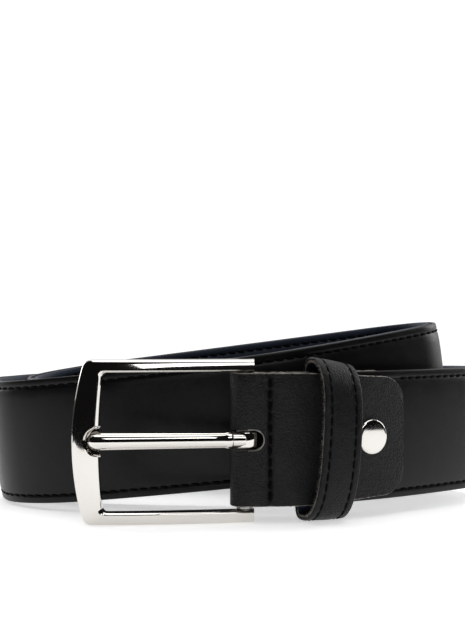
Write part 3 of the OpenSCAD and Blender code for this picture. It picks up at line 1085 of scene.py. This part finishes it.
class BELT_OT_buckle(bpy.types.Operator):
    """Builds the plated frame with its notch, and the bar"""
    bl_idname = "belt.buckle"
    bl_label = "Buckle"

    def execute(self, context):
        bm = sweep(frame_section(FRAME_DEPTH), frame_places())
        notch = bmesh.new()
        place = Matrix.Translation(NOTCH + Vector((0, NOTCH_FLOOR - 5, 0)))
        bmesh.ops.create_cone(notch, cap_ends=True, segments=72, radius1=NOTCH_R, radius2=NOTCH_R,
                              depth=10, matrix=place @ Matrix.Rotation(math.pi / 2, 4, "X"))
        bm = carve(bm, notch)
        drill = bmesh.new()
        drill_r = BAR_R + 0.04
        bmesh.ops.create_cone(drill, cap_ends=True, segments=40, radius1=drill_r, radius2=drill_r,
                              depth=50, matrix=Matrix.Translation(BAR + Vector((0, 0, MID_Z))))
        bm = carve(bm, drill)
        piece(bm, "buckle_frame_plated", "buckle", [finish("belt_nickel_plate")],
              ["buckle_frame"], 24)
        self.rim()
        self.bar()
        return {"FINISHED"}

    def rim(self):
        """The raised lip round the notch."""
        places = []
        for k in range(41):
            a = math.radians(84 + 192 * k / 40)
            out = Vector((math.cos(a), 0, math.sin(a)))
            at = NOTCH + out * (NOTCH_R + 0.12)
            at.y = face_y(at.x, at.z) + lip_depth(at)
            along = Vector((0, 0, 1)).cross(out) + Vector((0, 0, 0.0001))
            places.append(axes(at, out, along, Vector((0, 1, 0))))
        section = []
        for k in range(12):
            a = math.radians(30 * k)
            section.append((0.34 * math.cos(a), 0.42 * math.sin(a)))
        bm = sweep(section, places)
        piece(bm, "buckle_notch_rim", "buckle", [finish("belt_nickel_plate")],
              (), 60)

    def bar(self):
        """The bar, thicker between the rails than in them."""
        low = [(0, 0.25), (1.1, 0.25), (BAR_R, 0.5), (BAR_R, 3.45), (2.0, 3.45), (2.18, 3.65)]
        profile = low + [(r, FRAME_H - z) for r, z in reversed(low)]
        bm = lathe(profile, Matrix.Translation(BAR))
        piece(bm, "buckle_bar_steel", "buckle", [finish("belt_plain_steel")],
              ["buckle_bar"], 30)


def lip_depth(at):
    """How far the frame's face lies behind its front line at a point of the left bar."""
    share = (at.x - bowed_x(FRAME_X[0], SIDE_SAG, FRAME_MID, at.z)) / LEFT_W
    if share < 0.14:
        return 0.95
    if share < 0.8:
        return face_drop((share - 0.14) / 0.66)
    return 0.05 + max(0, share - 0.82) * 4.5


PRONG_TIP = Vector((-35.5, -3.56, MID_Z))
PRONG_ROOT = Vector((2.3, 1.05, MID_Z))
PRONG_TIP_R = 2.28
PRONG_ROOT_R = 2.08
COLLAR_END = 4.4
# The loop round the bar: its inner and outer radius and half its height.
LOOP = (2.27, 4.05, 2.05)


class BELT_OT_prong(bpy.types.Operator):
    """Builds the prong: a loop round the bar, a collar, the shank and its domed tip"""
    bl_idname = "belt.prong"
    bl_label = "Prong"

    def execute(self, context):
        shank = (PRONG_TIP - PRONG_ROOT).length
        ahead = (PRONG_TIP - PRONG_ROOT).normalized()
        profile = [(0, -1.0), (1.7, -1.0), (1.95, 0.4), (1.98, 2.2), (2.2, 2.45), (2.28, 2.8),
                   (2.28, 3.7), (2.2, 4.1), (PRONG_ROOT_R, COLLAR_END)]
        for k in range(1, 9):
            profile.append((PRONG_ROOT_R + (PRONG_TIP_R - PRONG_ROOT_R) * k / 8,
                            COLLAR_END + (shank - COLLAR_END) * k / 8))
        for degrees in (12, 24, 36, 48, 60, 70, 80):
            a = math.radians(degrees)
            profile.append((PRONG_TIP_R * math.cos(a), shank + PRONG_TIP_R * math.sin(a)))
        profile.append((0, shank + PRONG_TIP_R))
        up = Vector((0, 0, 1))
        bm = lathe(profile, axes(PRONG_ROOT, up, ahead.cross(up), ahead), 56)
        r0, r1, half = LOOP
        loop = [(r0, -half), (r1 - 0.5, -half), (r1 - 0.15, -half + 0.15), (r1, -half + 0.5),
                (r1, half - 0.5), (r1 - 0.15, half - 0.15), (r1 - 0.5, half), (r0, half), (r0, -half)]
        middle = Matrix.Translation(BAR + Vector((0, 0, MID_Z)))
        hollow = bmesh.new()
        bmesh.ops.create_cone(hollow, cap_ends=True, segments=64, radius1=r0 + 0.3,
                              radius2=r0 + 0.3, depth=9, matrix=middle)
        bm = carve(bm, hollow)
        bm = carve(bm, lathe(loop, middle, 64), "UNION")
        piece(bm, "prong_plated", "prong", [finish("belt_nickel_plate")], ["prong"], 35)
        return {"FINISHED"}


# The rivet's place along the strap and up it, then the sizes of its cap, post and flange.
RIVET_S = 28.8
RIVET_Z = 17.5
RIVET_RIM = 0.75
DOME_RISE = 0.085
POST_R = 1.5
FLANGE_R = 3.5


class BELT_OT_rivet(bpy.types.Operator):
    """Builds the low domed rivet head and its post"""
    bl_idname = "belt.rivet"
    bl_label = "Rivet"

    def execute(self, context):
        z = sizes()
        r = z["rivet_d"] / 2
        place = strap_place(RIVET_S) @ Matrix.Translation((0, 0, RIVET_Z))
        turned = place @ Matrix.Rotation(math.pi / 2, 4, "Y")
        face = z["strap_t"] / 2 + z["chape_t"]
        profile = [(0, face - 0.1), (r - 0.35, face - 0.1), (r - 0.05, face + 0.05), (r, face + 0.3)]
        for degrees in (10, 22, 34, 46, 58, 70, 80):
            a = math.radians(degrees)
            profile.append((r - RIVET_RIM + RIVET_RIM * math.cos(a),
                            face + 0.35 + RIVET_RIM * math.sin(a)))
        dome_r, dome_n = profile[-1]
        for u in (0.9, 0.78, 0.64, 0.48, 0.3, 0.15, 0):
            profile.append((dome_r * u, dome_n + DOME_RISE * (1 - u * u)))
        bm = lathe(profile, turned, 64)
        piece(bm, "rivet_cap_plated", "strap", [finish("belt_nickel_plate")],
              ["rivet_cap"], 50)
        back = -face
        profile = [(0, back - 0.6), (FLANGE_R - 0.5, back - 0.6), (FLANGE_R - 0.1, back - 0.45),
                   (FLANGE_R, back - 0.2), (FLANGE_R, back + 0.02), (POST_R, back + 0.02),
                   (POST_R, face), (0, face)]
        bm = lathe(profile, turned, 40)
        piece(bm, "rivet_post_steel", "strap", [finish("belt_plain_steel")],
              ["rivet_post"], 30)
        return {"FINISHED"}


# ---------------------------------------------------------------- stage
# The camera's distance in front of the fold, its height and its lens, in millimetres.
CAMERA_BACK = 350.0
CAMERA_H = 55.0
LENS = 77.0
# Half sizes of the floor in metres, the distance of its middle behind the belt, and its glow.
FLOOR_HALF = (0.42, 0.25)
FLOOR_BACK = 0.05
FLOOR_GLOW = 0.55
# Each light's name, place, aim, size and power, in metres and watts.
LIGHTS = (
    ("overhead_box", (0.04, 0.06, 0.9), (0, 0, 0), (1.1, 0.8), 5.0),
    ("front_box", (0.29, -0.66, 0.62), (0.0, -0.04, 0.02), (0.54, 0.17), 1.0),
    ("left_box", (-0.75, 0.55, 0.4), (0, 0, 0.03), (0.4, 0.5), 2.2),
    ("right_box", (0.8, 0.55, 0.4), (0, 0, 0.03), (0.4, 0.5), 2.2),
)
# Greys of the surroundings from the viewer's side to the far side, and the white seen directly.
SURROUND = ((0.54, 0.006), (0.72, 0.8))
BACKDROP = 1.1


def area_light(name, at, target, size, power):
    """A rectangular lamp that faces its target."""
    data = bpy.data.lights.new(name, "AREA")
    data.shape = "RECTANGLE"
    data.size, data.size_y = size
    data.energy = power
    obj = bpy.data.objects.new(name, data)
    bpy.context.scene.collection.objects.link(obj)
    obj.location = at
    obj.rotation_euler = (Vector(target) - Vector(at)).to_track_quat("-Z", "Y").to_euler()


class BELT_OT_stage(bpy.types.Operator):
    """Lays the white floor, hangs the lights and sets the camera"""
    bl_idname = "belt.stage"
    bl_label = "Stage"

    def execute(self, context):
        scene = context.scene
        self.floor(scene)
        self.world(scene)
        for light in LIGHTS:
            area_light(*light)
        self.camera(scene)
        scene.view_settings.view_transform = "Standard"
        scene.view_settings.look = "None"
        return {"FINISHED"}

    def floor(self, scene):
        """White paper that glows a little, so that it stays white under the belt."""
        bm = bmesh.new()
        bmesh.ops.create_grid(bm, x_segments=1, y_segments=1, size=1.0)
        spread = Matrix.Translation((0, FLOOR_BACK, 0)) @ Matrix.Diagonal((*FLOOR_HALF, 1, 1))
        bmesh.ops.transform(bm, matrix=spread, verts=bm.verts)
        mesh = bpy.data.meshes.new("floor")
        bm.to_mesh(mesh)
        bm.free()
        floor = bpy.data.objects.new("floor", mesh)
        scene.collection.objects.link(floor)
        f = Finish("floor_paper")
        paper = f.grain(2.5, 3)
        shade = scene.belt_colours.floor
        f.set(base_color=f.blend_colours(paper, brighter(shade, 0.99), shade),
              roughness=0.75 + paper * 0.1, emission_color=(1, 1, 1), emission_strength=FLOOR_GLOW)
        mesh.materials.append(f.material)

    def camera(self, scene):
        """A level camera in front of the buckle."""
        data = bpy.data.cameras.new("camera")
        data.lens = LENS
        data.sensor_width = 36
        data.sensor_fit = "AUTO"
        data.clip_start = 0.01
        camera = bpy.data.objects.new("camera", data)
        scene.collection.objects.link(camera)
        camera.location = TO_ROW @ Vector((0, -CAMERA_BACK, CAMERA_H))
        camera.rotation_euler = (math.pi / 2, 0, 0)
        scene.camera = camera

    def world(self, scene):
        """White all round for the eye, and darker towards the viewer's side for the gloss."""
        world = bpy.data.worlds.new("studio")
        world.use_nodes = True
        scene.world = world
        n = Nodes(world.node_tree)
        depth = n.node("SeparateXYZ", output=1, vector=n.node("TexCoord"))
        grey = n.node("ValToRGB", {"stops": SURROUND}, fac=depth * 0.5 + 0.5)
        gloss = n.node("Background", color=grey)
        white = n.node("Background", color=(1, 1, 1), strength=BACKDROP)
        eye = n.node("LightPath")
        n.node("OutputWorld", surface=n.node("MixShader", input_0=eye, input_1=gloss, input_2=white))


class BELT_PT_panel(bpy.types.Panel):
    """Lists the belt's pieces in the sidebar"""
    bl_label = "Coiled belt"
    bl_idname = "BELT_PT_panel"
    bl_space_type = "VIEW_3D"
    bl_region_type = "UI"
    bl_category = "Belt"

    def draw(self, context):
        for step in STEPS:
            self.layout.operator(step.bl_idname)
        for group in (context.scene.belt_sizes, context.scene.belt_colours):
            for key in type(group).__annotations__:
                self.layout.prop(group, key)


STEPS = (BELT_OT_stage, BELT_OT_strap_leather, BELT_OT_strap_thread, BELT_OT_chape, BELT_OT_keeper,
         BELT_OT_buckle, BELT_OT_prong, BELT_OT_rivet)
CLASSES = (BeltSizes, BeltColours) + STEPS + (BELT_PT_panel,)


def register():
    for cls in CLASSES:
        bpy.utils.register_class(cls)
    bpy.types.Scene.belt_sizes = bpy.props.PointerProperty(type=BeltSizes)
    bpy.types.Scene.belt_colours = bpy.props.PointerProperty(type=BeltColours)


def unregister():
    del bpy.types.Scene.belt_colours
    del bpy.types.Scene.belt_sizes
    for cls in reversed(CLASSES):
        bpy.utils.unregister_class(cls)


def main():
    register()
    for step in STEPS:
        group, _, name = step.bl_idname.partition(".")
        getattr(getattr(bpy.ops, group), name)()


if __name__ == "__main__":
    main()
